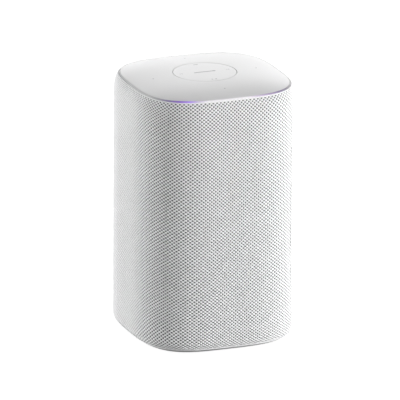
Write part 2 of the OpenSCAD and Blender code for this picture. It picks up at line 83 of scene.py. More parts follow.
# ============================================================ outline and profiles, in millimetres
HALF, RIM_Z, CORNER_N, CORNER_R = 61.0, 194.4, 3.45, 9.8
SH_V, SH_H, TK_V, TK_H = 13.2, 5.4, 11.5, 24.6
CROWN, CROWN_M, RIM_INS, STRIP_INS, HEM_Z = 3.6, 3.2, 4.75, 3.45, 5.6
KEY_R, KEY_GAP = 23.1, 0.35
KNIT_T = 1.4


def sec(ins, t):
    """Plan points at angle t (radians), moved inwards by ins. Returns x, y."""
    c, s = np.cos(t), np.sin(t)
    q = (np.abs(c) ** CORNER_N + np.abs(s) ** CORNER_N) ** (-1 / CORNER_N)
    gx = np.sign(c) * np.abs(q * c) ** (CORNER_N - 1)
    gy = np.sign(s) * np.abs(q * s) ** (CORNER_N - 1)
    g = np.hypot(gx, gy)
    return (HALF - CORNER_R) * q * c + gx / g * (CORNER_R - ins), (HALF - CORNER_R) * q * s + gy / g * (CORNER_R - ins)


def shoulder(k, d=0.0):
    k = np.asarray(k, float)
    g = np.hypot(SH_V * np.cos(k), SH_H * np.sin(k))
    return (SH_H * (1 - np.cos(k)) + d * SH_V * np.cos(k) / g,
            RIM_Z - SH_V * (1 - np.sin(k)) - d * SH_H * np.sin(k) / g)


def tuck(k, d=0.0):
    k = np.asarray(k, float)
    g = np.hypot(TK_V * np.cos(k), TK_H * np.sin(k))
    return (TK_H * (1 - np.cos(k)) + d * TK_V * np.cos(k) / g,
            TK_V * (1 - np.sin(k)) + d * TK_H * np.sin(k) / g)


def shoulder_k(ins):
    return math.acos(1 - ins / SH_H)


def tuck_k(z):
    return math.asin(1 - z / TK_V)


def crown_z(rho):
    return RIM_Z + CROWN * (1 - np.asarray(rho, float) ** CROWN_M)


def arc_table():
    t = np.linspace(-0.75 * np.pi, 1.25 * np.pi, 36001)
    x, y = sec(0.0, t)
    return t, np.concatenate([[0], np.cumsum(np.hypot(np.diff(x), np.diff(y)))])


ARC_T, ARC_L = arc_table()
PERIM = ARC_L[-1]


def even_angles(m):
    """m angles that divide the outline evenly by length, starting on the diagonal at -135 degrees."""
    return np.interp(np.arange(m) * PERIM / m, ARC_L, ARC_T)


# ============================================================ mesh helpers
def make_mesh(name, verts, quads, tris=(), smooth=True):
    """A mesh object from points in millimetres, four-sided faces and three-sided faces."""
    verts = np.asarray(verts, float).reshape(-1, 3) * MM
    quads = np.asarray(quads, np.int32).reshape(-1, 4)
    tris = np.asarray(tris, np.int32).reshape(-1, 3)
    me = bpy.data.meshes.new(name)
    me.vertices.add(len(verts))
    me.vertices.foreach_set("co", verts.astype(np.float32).ravel())
    loops = np.concatenate([quads.ravel(), tris.ravel()])
    me.loops.add(len(loops))
    me.loops.foreach_set("vertex_index", loops)
    total = len(quads) + len(tris)
    me.polygons.add(total)
    starts = np.concatenate([np.arange(len(quads)) * 4, len(quads) * 4 + np.arange(len(tris)) * 3])
    me.polygons.foreach_set("loop_start", starts.astype(np.int32))
    me.update(calc_edges=True)
    me.polygons.foreach_set("use_smooth", np.full(total, smooth))
    me.validate()
    ob = bpy.data.objects.new(name, me)
    scene.collection.objects.link(ob)
    return ob


def sharp_by_angle(ob, degrees=32):
    """Marks the edges where two faces meet at more than this angle as sharp."""
    me = ob.data
    me.update()
    n = len(me.polygons)
    normals = np.empty(n * 3, np.float32)
    me.polygons.foreach_get("normal", normals)
    normals = normals.reshape(-1, 3)
    edge_of = np.empty(len(me.loops), np.int32)
    me.loops.foreach_get("edge_index", edge_of)
    count = np.empty(n, np.int32)
    me.polygons.foreach_get("loop_total", count)
    face_of = np.repeat(np.arange(n), count)
    order = np.argsort(edge_of, kind="stable")
    e, f = edge_of[order], face_of[order]
    same = np.nonzero(e[1:] == e[:-1])[0]
    dot = (normals[f[same]] * normals[f[same + 1]]).sum(1)
    sharp = np.zeros(len(me.edges), bool)
    sharp[e[same][dot < math.cos(math.radians(degrees))]] = True
    attr = me.attributes.get("sharp_edge") or me.attributes.new("sharp_edge", "BOOLEAN", "EDGE")
    attr.data.foreach_set("value", sharp)
    me.update()


def band(name, prof, m=480, closed=True):
    """A profile of (inset, height) points carried round the outline; closed profiles give a closed body."""
    t = even_angles(m)
    prof = np.asarray(prof, float)
    n = len(prof)
    pts = np.empty((n, m, 3))
    for j, (ins, z) in enumerate(prof):
        x, y = sec(ins, t)
        pts[j, :, 0], pts[j, :, 1], pts[j, :, 2] = x, y, z
    i = np.arange(m)
    quads = []
    for j in range(n if closed else n - 1):
        k = (j + 1) % n
        l = (i + 1) % m
        quads.append(np.stack([j * m + i, k * m + i, k * m + l, j * m + l], 1))
    ob = make_mesh(name, pts.reshape(-1, 3), np.concatenate(quads))
    fix_normals(ob)
    sharp_by_angle(ob)
    return ob


def lathe(name, prof, m=192, z0=0.0, x0=0.0, y0=0.0, flip=False):
    """A closed turned body from (radius, height) points; a radius of 0 closes on the axis."""
    verts, rings = [], []
    a = np.arange(m) * 2 * np.pi / m
    for r, z in prof:
        if r <= 1e-9:
            rings.append(("p", len(verts)))
            verts.append((x0, y0, z + z0))
        else:
            rings.append(("r", len(verts)))
            verts += list(zip(x0 + r * np.cos(a), y0 + r * np.sin(a), np.full(m, z + z0)))
    quads, tris = [], []
    i = np.arange(m)
    l = (i + 1) % m
    n = len(rings)
    for j in range(n):
        (ka, sa), (kb, sb) = rings[j], rings[(j + 1) % n]
        if ka == "r" and kb == "r":
            quads.append(np.stack([sa + i, sa + l, sb + l, sb + i], 1))
        elif ka == "r":
            tris.append(np.stack([sa + i, sa + l, np.full(m, sb)], 1))
        elif kb == "r":
            tris.append(np.stack([np.full(m, sa), sb + l, sb + i], 1))
    ob = make_mesh(name, verts, np.concatenate(quads) if quads else [], np.concatenate(tris) if tris else [])
    fix_normals(ob)
    sharp_by_angle(ob)
    return ob


def fix_normals(ob):
    """Turns a closed mesh's faces outwards, judged by its signed volume."""
    me = ob.data
    me.calc_loop_triangles()
    t = np.empty(len(me.loop_triangles) * 3, np.int32)
    me.loop_triangles.foreach_get("vertices", t)
    co = np.empty(len(me.vertices) * 3)
    me.vertices.foreach_get("co", co)
    p = co.reshape(-1, 3)[t.reshape(-1, 3)]
    if (p[:, 0] * np.cross(p[:, 1], p[:, 2])).sum() < 0:
        me.flip_normals()


def join(name, parts):
    """One object from several, with its mesh merged in place."""
    for o in bpy.context.selected_objects:
        o.select_set(False)
    for o in parts:
        o.select_set(True)
    bpy.context.view_layer.objects.active = parts[0]
    bpy.ops.object.join()
    ob = bpy.context.view_layer.objects.active
    ob.name = name
    ob.data.name = name
    ob.select_set(False)
    return ob


def zip_lines(a, b, pa, pb):
    """Triangles between two lines of vertex numbers a and b, whose places along the way are pa and pb."""
    tris, i, j = [], 0, 0
    while i < len(a) - 1 or j < len(b) - 1:
        if j == len(b) - 1 or (i < len(a) - 1 and pa[i + 1] <= pb[j + 1]):
            tris.append((a[i], a[i + 1], b[j]))
            i += 1
        else:
            tris.append((a[i], b[j + 1], b[j]))
            j += 1
    return tris


# ============================================================ materials
class Nodes:
    """A small builder for node materials."""

    def __init__(self, name):
        self.m = bpy.data.materials.new(name)
        self.m.use_nodes = True
        self.t = self.m.node_tree
        self.t.nodes.clear()
        self.out = self.t.nodes.new("ShaderNodeOutputMaterial")
        self.bsdf = self.t.nodes.new("ShaderNodeBsdfPrincipled")
        self.t.links.new(self.bsdf.outputs[0], self.out.inputs[0])

    def n(self, kind, **inputs):
        node = self.t.nodes.new(kind)
        for k, v in inputs.items():
            if k.startswith("_"):
                setattr(node, k[1:], v)
        for k, v in inputs.items():
            if k.startswith("_"):
                continue
            key = int(k[1:]) if k[0] == "i" and k[1:].isdigit() else k.replace("_", " ")
            self.put(node.inputs[key], v)
        return node

    def put(self, socket, v):
        if isinstance(v, bpy.types.NodeSocket):
            self.t.links.new(v, socket)
        elif isinstance(v, bpy.types.Node):
            self.t.links.new(v.outputs[0], socket)
        else:
            if hasattr(socket.default_value, "__len__") and hasattr(v, "__len__") and len(v) == 3 and len(socket.default_value) == 4:
                v = (*v, 1)
            socket.default_value = v

    def math(self, op, a, b=0.0, c=0.0, clamp=False):
        node = self.t.nodes.new("ShaderNodeMath")
        node.operation, node.use_clamp = op, clamp
        for s, v in zip(node.inputs, (a, b, c)):
            self.put(s, v)
        return node.outputs[0]

    def ramp(self, fac, stops, interp="LINEAR"):
        node = self.t.nodes.new("ShaderNodeValToRGB")
        node.color_ramp.interpolation = interp
        el = node.color_ramp.elements
        while len(el) < len(stops):
            el.new(0.5)
        for e, (p, c) in zip(el, stops):
            e.position = p
            e.color = (*c, 1) if hasattr(c, "__len__") else (c, c, c, 1)
        self.put(node.inputs[0], fac)
        return node.outputs[0]

    def mix(self, fac, a, b, blend="MIX"):
        node = self.t.nodes.new("ShaderNodeMix")
        node.data_type, node.blend_type = "RGBA", blend
        self.put(node.inputs[0], fac)
        self.put(node.inputs[6], a)
        self.put(node.inputs[7], b)
        return node.outputs[2]

    def coords(self):
        return self.t.nodes.new("ShaderNodeTexCoord").outputs["Object"]

    def noise(self, scale, detail=3.0, rough=0.55, vector=None, stretch=None):
        vector = vector or self.coords()
        if stretch:
            mp = self.t.nodes.new("ShaderNodeMapping")
            mp.inputs["Scale"].default_value = stretch
            self.t.links.new(vector, mp.inputs["Vector"])
            vector = mp.outputs[0]
        node = self.t.nodes.new("ShaderNodeTexNoise")
        node.inputs["Scale"].default_value = scale
        node.inputs["Detail"].default_value = detail
        node.inputs["Roughness"].default_value = rough
        self.t.links.new(vector, node.inputs["Vector"])
        return node.outputs[0]

    def bump(self, height, strength, distance, normal=None):
        node = self.t.nodes.new("ShaderNodeBump")
        node.inputs["Strength"].default_value = strength
        node.inputs["Distance"].default_value = distance
        self.put(node.inputs["Height"], height)
        if normal is not None:
            self.put(node.inputs["Normal"], normal)
        return node.outputs[0]

    def set(self, **values):
        for k, v in values.items():
            self.put(self.bsdf.inputs[k.replace("_", " ")], v)
        return self


def shade(c, f):
    return tuple(min(1.0, x * f) for x in c)


def moulded(name, colour, rough=0.45, grain=0.00003, grain_scale=2600, vary=0.05, rough_vary=0.06, spec=0.5, mottle=26):
    """Moulded plastic: fine spark-eroded grain, slight flow mottling, and roughness that wanders a little."""
    k = Nodes(name)
    big = k.noise(mottle, 3, 0.6)
    fine = k.noise(grain_scale, 2, 0.5)
    k.set(Base_Color=k.mix(k.ramp(big, [(0.3, 0.0), (0.7, 1.0)]), shade(colour, 1 - vary), shade(colour, 1 + vary * 0.5)),
          Roughness=k.math("MULTIPLY_ADD", k.noise(mottle * 3, 2), rough_vary * 2, rough - rough_vary),
          Normal=k.bump(fine, 0.35, grain))
    k.bsdf.inputs["Specular IOR Level"].default_value = spec
    return k.m


def rubbery(name, colour, rough=0.72, pit=0.00005):
    k = Nodes(name)
    v = k.t.nodes.new("ShaderNodeTexVoronoi")
    v.inputs["Scale"].default_value = 900
    k.t.links.new(k.coords(), v.inputs["Vector"])
    dust = k.ramp(k.noise(90, 5, 0.65), [(0.45, 0.0), (0.8, 1.0)])
    k.set(Base_Color=k.mix(dust, colour, tuple(x * 0.8 + 0.03 for x in colour)),
          Roughness=k.math("MULTIPLY_ADD", k.noise(300, 3), 0.16, rough - 0.08),
          Normal=k.bump(v.outputs["Distance"], 0.4, pit))
    k.bsdf.inputs["Specular IOR Level"].default_value = 0.35
    return k.m


def metal(name, colour, rough=0.32, stretch=(1, 1, 40), scratch=600, bump=0.000012):
    k = Nodes(name)
    lines = k.noise(scratch, 4, 0.6, stretch=stretch)
    spots = k.noise(70, 3, 0.6)
    k.set(Base_Color=k.mix(spots, shade(colour, 0.88), shade(colour, 1.05)),
          Roughness=k.math("MULTIPLY_ADD", lines, 0.22, rough - 0.11),
          Normal=k.bump(lines, 0.3, bump))
    k.bsdf.inputs["Metallic"].default_value = 1.0
    return k.m


def board(name, mask, trace, pad=(0.8, 0.72, 0.45)):
    """Circuit board: solder mask over a copper pour, lighter tracks and small plated vias."""
    k = Nodes(name)
    co = k.coords()
    br = k.t.nodes.new("ShaderNodeTexBrick")
    br.inputs["Scale"].default_value = 170
    br.inputs["Mortar Size"].default_value = 0.035
    br.offset, br.squash = 0.37, 0.6
    k.t.links.new(co, br.inputs["Vector"])
    v = k.t.nodes.new("ShaderNodeTexVoronoi")
    v.inputs["Scale"].default_value = 260
    k.t.links.new(co, v.inputs["Vector"])
    via = k.ramp(v.outputs["Distance"], [(0.10, 1.0), (0.13, 0.0)])
    base = k.mix(k.math("MULTIPLY", br.outputs["Fac"], 0.7), mask, trace)
    k.set(Base_Color=k.mix(via, base, pad), Roughness=k.math("MULTIPLY_ADD", k.noise(400), 0.12, 0.3),
          Normal=k.bump(br.outputs["Fac"], 0.5, 0.00004))
    return k.m


def cloth(name, colour, scale=1500, rough=0.85, dark=0.7, height=0.00012):
    """Woven cloth: two crossed wave bands, with slight yarn-to-yarn changes."""
    k = Nodes(name)
    co = k.coords()
    waves = []
    for d in ("X", "Z"):
        w = k.t.nodes.new("ShaderNodeTexWave")
        w.bands_direction = d
        w.inputs["Scale"].default_value = scale / 6.28
        w.inputs["Distortion"].default_value = 0.6
        w.inputs["Detail"].default_value = 1.0
        k.t.links.new(co, w.inputs["Vector"])
        waves.append(w.outputs["Fac"])
    weave = k.math("MULTIPLY", waves[0], waves[1])
    k.set(Base_Color=k.mix(weave, shade(colour, dark), k.mix(k.noise(60), shade(colour, 0.93), colour)),
          Roughness=k.math("MULTIPLY_ADD", k.noise(200), 0.1, rough - 0.05), Normal=k.bump(weave, 0.6, height))
    k.bsdf.inputs["Sheen Weight"].default_value = 0.15
    return k.m


def wool(name, colour):
    k = Nodes(name)
    f = k.noise(420, 8, 0.75, stretch=(1, 5, 1))
    g = k.noise(45, 4, 0.6)
    k.set(Base_Color=k.mix(f, shade(colour, 0.72), k.mix(g, shade(colour, 0.94), colour)), Roughness=0.95,
          Normal=k.bump(f, 0.9, 0.0009))
    k.bsdf.inputs["Sheen Weight"].default_value = 0.3
    return k.m


def wound(name, colour):
    """Enamelled wire wound in fine turns along Y."""
    k = Nodes(name)
    w = k.t.nodes.new("ShaderNodeTexWave")
    w.bands_direction = "Y"
    w.inputs["Scale"].default_value = 5200 / 6.28
    w.inputs["Distortion"].default_value = 0.05
    k.t.links.new(k.coords(), w.inputs["Vector"])
    k.set(Base_Color=k.mix(w.outputs["Fac"], shade(colour, 0.45), colour), Roughness=k.math("MULTIPLY_ADD", k.noise(200), 0.1, 0.26),
          Normal=k.bump(w.outputs["Fac"], 0.7, 0.0001))
    k.bsdf.inputs["Metallic"].default_value = 1.0
    return k.m


def pulp(name, colour):
    """Pressed paper fibre of a loudspeaker cone."""
    k = Nodes(name)
    f = k.noise(900, 6, 0.7)
    h = k.noise(140, 5, 0.7)
    k.set(Base_Color=k.mix(f, shade(colour, 0.6), shade(colour, 1.5)), Roughness=k.math("MULTIPLY_ADD", h, 0.2, 0.62),
          Normal=k.bump(f, 0.6, 0.00012))
    return k.m


def spun(name, colour, rough=0.3):
    """Turned metal: a fine noise, the same in every direction, varies its roughness and bump."""
    k = Nodes(name)
    f = k.noise(1400, 3, 0.6)
    k.set(Base_Color=k.mix(k.noise(60), shade(colour, 0.9), colour), Roughness=k.math("MULTIPLY_ADD", f, 0.18, rough - 0.06),
          Normal=k.bump(f, 0.25, 0.00001))
    k.bsdf.inputs["Metallic"].default_value = 1.0
    return k.m


def lit(name, colour, glow, strength):
    k = Nodes(name)
    n = k.noise(500, 3)
    k.set(Base_Color=k.mix(n, shade(colour, 0.92), colour), Roughness=0.35, Normal=k.bump(n, 0.2, 0.00002),
          Emission_Color=glow, Emission_Strength=strength)
    return k.m


SLOT_MATERIALS = {
    "cover_plastic": moulded("cover_inner", (0.62, 0.62, 0.64), 0.42),
    "base_plastic": moulded("base_satin", (0.50, 0.50, 0.505), 0.46, grain=0.00004),
    "foot_rubber": rubbery("foot_rubber", (0.075, 0.075, 0.078)),
    "frame_plastic": moulded("frame_plastic", (0.55, 0.55, 0.56), 0.5),
    "black_plastic": moulded("black_plastic", (0.022, 0.022, 0.024), 0.42, grain=0.00006, grain_scale=1800, vary=0.3),
    "steel": metal("zinc_steel", (0.62, 0.62, 0.64)),
    "ferrite": moulded("ferrite", (0.035, 0.035, 0.038), 0.55, grain=0.00015, grain_scale=900, vary=0.35),
    "cone_fibre": pulp("cone_pulp", (0.022, 0.022, 0.024)),
    "dome_fabric": cloth("dome_cloth", (0.03, 0.03, 0.033), 3200, 0.6, 0.6, 0.00004),
    "spider_cloth": cloth("spider_cloth", (0.52, 0.34, 0.10), 2400, 0.8, 0.55, 0.0001),
    "surround_rubber": rubbery("surround_rubber", (0.018, 0.018, 0.02), 0.55, 0.00003),
    "gasket_foam": rubbery("gasket_foam", (0.03, 0.03, 0.03), 0.9, 0.0002),
    "silicone": rubbery("silicone", (0.55, 0.55, 0.57), 0.5, 0.00002),
    "aluminium": spun("aluminium", (0.74, 0.75, 0.77)),
    "copper": wound("copper_winding", (0.80, 0.38, 0.18)),
    "contact_metal": metal("nickel", (0.75, 0.72, 0.64), 0.25),
    "board_green": board("board_green", (0.012, 0.075, 0.035), (0.03, 0.16, 0.075)),
    "components": moulded("components", (0.03, 0.03, 0.033), 0.38, grain=0.00004, vary=0.3),
    "can_blue": moulded("capacitor_sleeve", (0.02, 0.035, 0.11), 0.25, grain=0.00002, vary=0.2),
    "board_white": board("board_white", (0.72, 0.72, 0.72), (0.6, 0.6, 0.6)),
    "wire_jacket": moulded("wire_jacket", (0.30, 0.02, 0.018), 0.4, vary=0.15),
    "ribbon_film": board("ribbon_film", (0.66, 0.66, 0.68), (0.52, 0.52, 0.55), (0.66, 0.66, 0.68)),
    "wadding": wool("wadding", (0.72, 0.72, 0.70)),
    "lamp_white": lit("lamp_white", (0.85, 0.82, 0.66), (0.55, 0.42, 0.95), 1.5),
}
for slot_name, o in [(s.get("material_slot"), nodes[s["node"]]) for s in frame["record"]["subparts"]]:
    if slot_name in SLOT_MATERIALS:
        o.data.materials.clear()
        o.data.materials.append(SLOT_MATERIALS[slot_name])

# ============================================================ knitted sleeve
COLS, ROWS, SUB = 66, 150, 3          # half-cells per panel and up the sleeve, and mesh steps in each
RELIEF = 1.00                         # depth of the pits, mm
KH = tuck_k(HEM_Z)
K_TOP = math.radians(66.8)
WINDOW_X, WINDOW_Z0, WINDOW_Z1, WINDOW_R = 17.2, 13.8, 38.2, 5.2


def knit_profile():
    """Dense table of the sleeve's outer face from hem to hem: length, inset, height, and the outward normal."""
    k0 = np.linspace(KH, 0, 160)
    a = np.stack(tuck(k0), 1)
    z = np.linspace(TK_V, RIM_Z - SH_V, 200)
    b = np.stack([np.zeros_like(z), z], 1)
    k1 = np.linspace(0, K_TOP, 220)
    c = np.stack(shoulder(k1), 1)
    p = np.concatenate([a, b[1:], c[1:]])
    s = np.concatenate([[0], np.cumsum(np.hypot(*np.diff(p, axis=0).T))])
    d = np.gradient(p, s, axis=0)
    d /= np.hypot(d[:, 0], d[:, 1])[:, None]
    # along the profile (inset, height) = d; outward in (inset, height) is (-dz, dinset)
    nrm = np.stack([-d[:, 1], d[:, 0]], 1)
    return s, p, nrm


KS, KP, KN = knit_profile()
KNIT_LEN = KS[-1]


def column_places():
    """Lengths along one face, from one diagonal to the next, of the half-cell lines: close in the middle of a face, wider round the corners."""
    face = PERIM / 4
    u = np.linspace(-face / 2, face / 2, 2001)
    spacing = np.interp(np.abs(u), [0, 6, 13, 20, 27, 34, 41, 48, 52], [1.420, 1.428, 1.458, 1.538, 1.613, 1.667, 1.667, 1.655, 1.64])
    f = np.concatenate([[0], np.cumsum((1 / spacing[1:] + 1 / spacing[:-1]) / 2 * np.diff(u))])
    f *= COLS / f[-1]
    steps = np.arange(COLS * SUB + 1) / SUB
    return np.interp(steps, f, u + face / 2)


def row_places():
    """Lengths up the profile of the half-cell lines: slightly closer at the foot."""
    spacing = np.interp(KP[:, 1], [0, 50, 100, 150, 198], [1.215, 1.243, 1.277, 1.292, 1.305])
    f = np.concatenate([[0], np.cumsum((1 / spacing[1:] + 1 / spacing[:-1]) / 2 * np.diff(KS))])
    f *= ROWS / f[-1]
    return np.interp(np.arange(ROWS * SUB + 1) / SUB, f, KS)


def drift(u):
    """How far the courses of the knit drift up or down at a place u round the sleeve (0 at the middle of the front, mm)."""
    u = (u + PERIM / 2) % PERIM - PERIM / 2
    k = [-207, -155, -104, -90, -76, -69, -62, -55, -48, -41, -34, -20, 0, 36, 60, 104, 155, 207]
    v = [0.2, 1.0, 2.4, 2.9, 3.4, 3.5, 3.35, 2.75, 2.05, 1.45, 0.95, 0.35, 0.0, -0.9, -1.3, -1.0, -0.3, 0.2]
    return np.interp(u, k, v) - 1.1


def smooth01(x):
    x = np.clip(x, 0, 1)
    return x * x * (3 - 2 * x)


def knit_points(u, s, depth):
    """Points of the sleeve at places u round it (from the -135 degree diagonal) and s up it, sunk by depth (mm)."""
    t = np.interp(u % PERIM, ARC_L, ARC_T)
    ins = np.interp(s, KS, KP[:, 0]) - depth * np.interp(s, KS, KN[:, 0])
    z = np.interp(s, KS, KP[:, 1]) - depth * np.interp(s, KS, KN[:, 1])
    x, y = sec(ins, t)
    return np.stack([x, y, z], -1)


def window_distance(x, z):
    """Signed distance outside the rear window's rounded rectangle."""
    cz, hz = (WINDOW_Z0 + WINDOW_Z1) / 2, (WINDOW_Z1 - WINDOW_Z0) / 2
    qx = np.abs(x) - (WINDOW_X - WINDOW_R)
    qz = np.abs(z - cz) - (hz - WINDOW_R)
    return np.hypot(np.maximum(qx, 0), np.maximum(qz, 0)) + np.minimum(np.maximum(qx, qz), 0) - WINDOW_R


def onto_window(x, z):
    """The nearest point on the window's outline, by stepping down the distance."""
    for _ in range(12):
        d = window_distance(x, z)
        e = 1e-4
        gx = (window_distance(x + e, z) - window_distance(x - e, z)) / (2 * e)
        gz = (window_distance(x, z + e) - window_distance(x, z - e)) / (2 * e)
        g = np.maximum(np.hypot(gx, gz), 1e-6)
        x, z = x - d * gx / g, z - d * gz / g
    return x, z


def knit_panel(name, face):
    """One quarter of the sleeve, from diagonal to diagonal: a relief of raised stitches and deep pits outside, a plain inner face, closed all round."""
    cols, rows = column_places(), row_places()
    nu, nv = len(cols), len(rows)
    u = cols + face * PERIM / 4
    cu, rv = np.arange(nu) / SUB, np.arange(nv) / SUB
    fade = smooth01(rows / 22) * smooth01((KNIT_LEN - rows) / 22)
    S = rows[None, :] + drift(u - PERIM / 8)[:, None] * fade[None, :]
    parity = (face * COLS) % 2
    w = 0.5 * (1 - np.cos(np.pi * (cu[:, None] + parity)) * np.cos(np.pi * rv[None, :]))
    hem = smooth01(S / 0.5) * smooth01((KNIT_LEN - S) / 0.3)
    # a stitch is a rounded head, and the pit beside it is narrower and deeper
    profile = np.interp(w, [0, 0.25, 0.375, 0.5, 0.625, 0.75, 1.0], [0.0, 0.10, 0.26, 0.52, 0.78, 0.92, 1.0])
    depth = RELIEF * profile * hem
    P = knit_points(u[:, None] + 0 * S, S, depth)
    verts = P.reshape(-1, 3)
    lattice = np.stack([np.broadcast_to(cu[:, None] + parity, S.shape), np.broadcast_to(rv[None, :], S.shape), hem], -1).reshape(-1, 3)
    idx = np.arange(nu * nv).reshape(nu, nv)
    q = np.stack([idx[:-1, :-1], idx[1:, :-1], idx[1:, 1:], idx[:-1, 1:]], -1)
    keep = np.ones(q.shape[:2], bool)
    # inner face, coarse
    ci = np.arange(0, nu, SUB)
    zin = [0, 4, 8, 12.6, 26, 39.4, 60, 90, 120, 150, 172, KNIT_LEN - 12, KNIT_LEN - 8, KNIT_LEN - 4, KNIT_LEN]
    zs = np.interp([12.9, 39.1], KP[:, 1], KS)
    zin[3], zin[5] = zs[0], zs[1]
    zin[4] = (zs[0] + zs[1]) / 2
    zin = np.array(zin)
    I = knit_points(u[ci][:, None] + 0 * zin[None, :], zin[None, :] + 0 * u[ci][:, None], KNIT_T - 0.02)
    inner = np.arange(len(ci) * len(zin)).reshape(len(ci), len(zin)) + nu * nv
    iq = np.stack([inner[:-1, :-1], inner[:-1, 1:], inner[1:, 1:], inner[1:, :-1]], -1)
    ikeep = np.ones(iq.shape[:2], bool)
    tris = []
    if face == 2:
        X, Z = P[..., 0], P[..., 2]
        mid = window_distance((X[:-1, :-1] + X[1:, 1:]) / 2, (Z[:-1, :-1] + Z[1:, 1:]) / 2)
        keep = mid > 0
        ix = (I[:-1, :-1, 0] + I[1:, 1:, 0]) / 2
        iz = (I[:-1, :-1, 2] + I[1:, 1:, 2]) / 2
        ikeep = ~((np.abs(ix) < 18.6) & (iz > 12.9) & (iz < 39.1))
    quads = np.concatenate([q[keep].reshape(-1, 4), iq[ikeep].reshape(-1, 4)])
    allv = np.concatenate([verts, I.reshape(-1, 3)])
    # the four edges
    su, si = rows, zin
    for a, b, pa, pb, turn in (
        (idx[:, 0], inner[:, 0], u, u[ci], 1),
        (idx[:, -1], inner[:, -1], u, u[ci], 0),
        (idx[0, :], inner[0, :], su, si, 0),
        (idx[-1, :], inner[-1, :], su, si, 1),
    ):
        t = zip_lines(a, b, pa, pb)
        tris += [x[::-1] for x in t] if turn else t
    if face == 2:
        loops = []
        for cells, quad in ((keep, q), (ikeep, iq)):
            gone = quad[~cells].reshape(-1, 4)
            e = np.concatenate([gone[:, [0, 1]], gone[:, [1, 2]], gone[:, [2, 3]], gone[:, [3, 0]]])
            keys, uses = np.unique(np.sort(e, 1), axis=0, return_counts=True)
            rim = np.unique(keys[uses == 1])
            loops.append(rim)
        cx, cz = 0.0, (WINDOW_Z0 + WINDOW_Z1) / 2
        wx, wz = onto_window(allv[loops[0], 0], allv[loops[0], 2])
        allv[loops[0], 0], allv[loops[0], 2] = wx, wz
        allv[loops[0], 1] = HALF - 0.15
        ordered, angles = [], []
        for rim in loops:
            a = np.arctan2(allv[rim, 2] - cz, allv[rim, 0] - cx)
            o = np.argsort(a)
            rim, a = rim[o], a[o]
            ordered.append(np.append(rim, rim[0]))
            angles.append(np.append(a, a[0] + 2 * np.pi))
        tris += zip_lines(ordered[0], ordered[1], angles[0], angles[1])
    ob = make_mesh(name, allv, quads, tris)
    # points inside the cut-out that no face uses
    used = np.zeros(len(ob.data.vertices), bool)
    li = np.empty(len(ob.data.loops), np.int32)
    ob.data.loops.foreach_get("vertex_index", li)
    used[li] = True
    full = np.concatenate([lattice, np.tile([[0.5, 0.5, 0.0]], (I.size // 3, 1))])
    at = ob.data.attributes.new("lattice", "FLOAT_VECTOR", "POINT")
    at.data.foreach_set("vector", full.astype(np.float32).ravel())
    if not used.all():
        import bmesh
        bm = bmesh.new()
        bm.from_mesh(ob.data)
        bm.verts.ensure_lookup_table()
        bmesh.ops.delete(bm, geom=[bm.verts[int(i)] for i in np.nonzero(~used)[0]], context="VERTS")
        bm.to_mesh(ob.data)
        bm.free()
    import bmesh
    bm = bmesh.new()
    bm.from_mesh(ob.data)
    bmesh.ops.recalc_face_normals(bm, faces=bm.faces)
    bm.to_mesh(ob.data)
    bm.free()
    fix_normals(ob)
    # only the outer rims are creases; the relief itself stays smooth
    sharp_by_angle(ob, 80)
    return ob


def knit_material():
    """White polyester knit: bright stitches, pits painted dark as painted shade, twisted yarn and loose fibre."""
    k = Nodes("knit_white")
    at = k.n("ShaderNodeAttribute", _attribute_name="lattice", _attribute_type="GEOMETRY")
    sp = k.n("ShaderNodeSeparateXYZ", i0=at.outputs["Vector"])
    cu = k.math("COSINE", k.math("MULTIPLY", sp.outputs[0], math.pi))
    cv = k.math("COSINE", k.math("MULTIPLY", sp.outputs[1], math.pi))
    w = k.math("MULTIPLY_ADD", k.math("MULTIPLY", cu, cv), -0.5, 0.5)
    w = k.math("MULTIPLY", w, sp.outputs[2])
    jitter = k.noise(520, 4, 0.6)
    w2 = k.math("ADD", w, k.math("MULTIPLY_ADD", jitter, 0.16, -0.08))
    pit = k.ramp(w2, [(0.42, 0.0), (0.78, 1.0)], "EASE")
    yarn = k.n("ShaderNodeTexWave", _bands_direction="DIAGONAL", Scale=900.0, Distortion=2.2, Detail=2.0, Detail_Scale=1.6,
               Vector=k.coords())
    tone = k.noise(38, 4, 0.6)
    white = k.mix(tone, (0.80, 0.80, 0.805), (0.86, 0.86, 0.865))
    white = k.mix(k.math("MULTIPLY", yarn.outputs["Fac"], 0.22), white, (0.70, 0.70, 0.71))
    # the pits' dark base colour (0.125) is painted shade: it stands in for the shade inside the pits, added on top of
    # what the relief itself casts
    k.set(Base_Color=k.mix(pit, white, (0.125, 0.125, 0.127)),
          Roughness=k.math("MULTIPLY_ADD", jitter, 0.1, 0.84),
          Normal=k.bump(k.math("ADD", k.math("MULTIPLY", yarn.outputs["Fac"], 0.6), jitter), 0.35, 0.00012))
    k.bsdf.inputs["Specular IOR Level"].default_value = 0.25
    return k.m


KNIT = knit_material()
for face, label in enumerate(("front", "right", "back", "left")):
    p = knit_panel("knit_panel_" + label, face)
    p.data.materials.append(KNIT)
    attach(p, "housing")
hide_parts("fabric_sleeve")


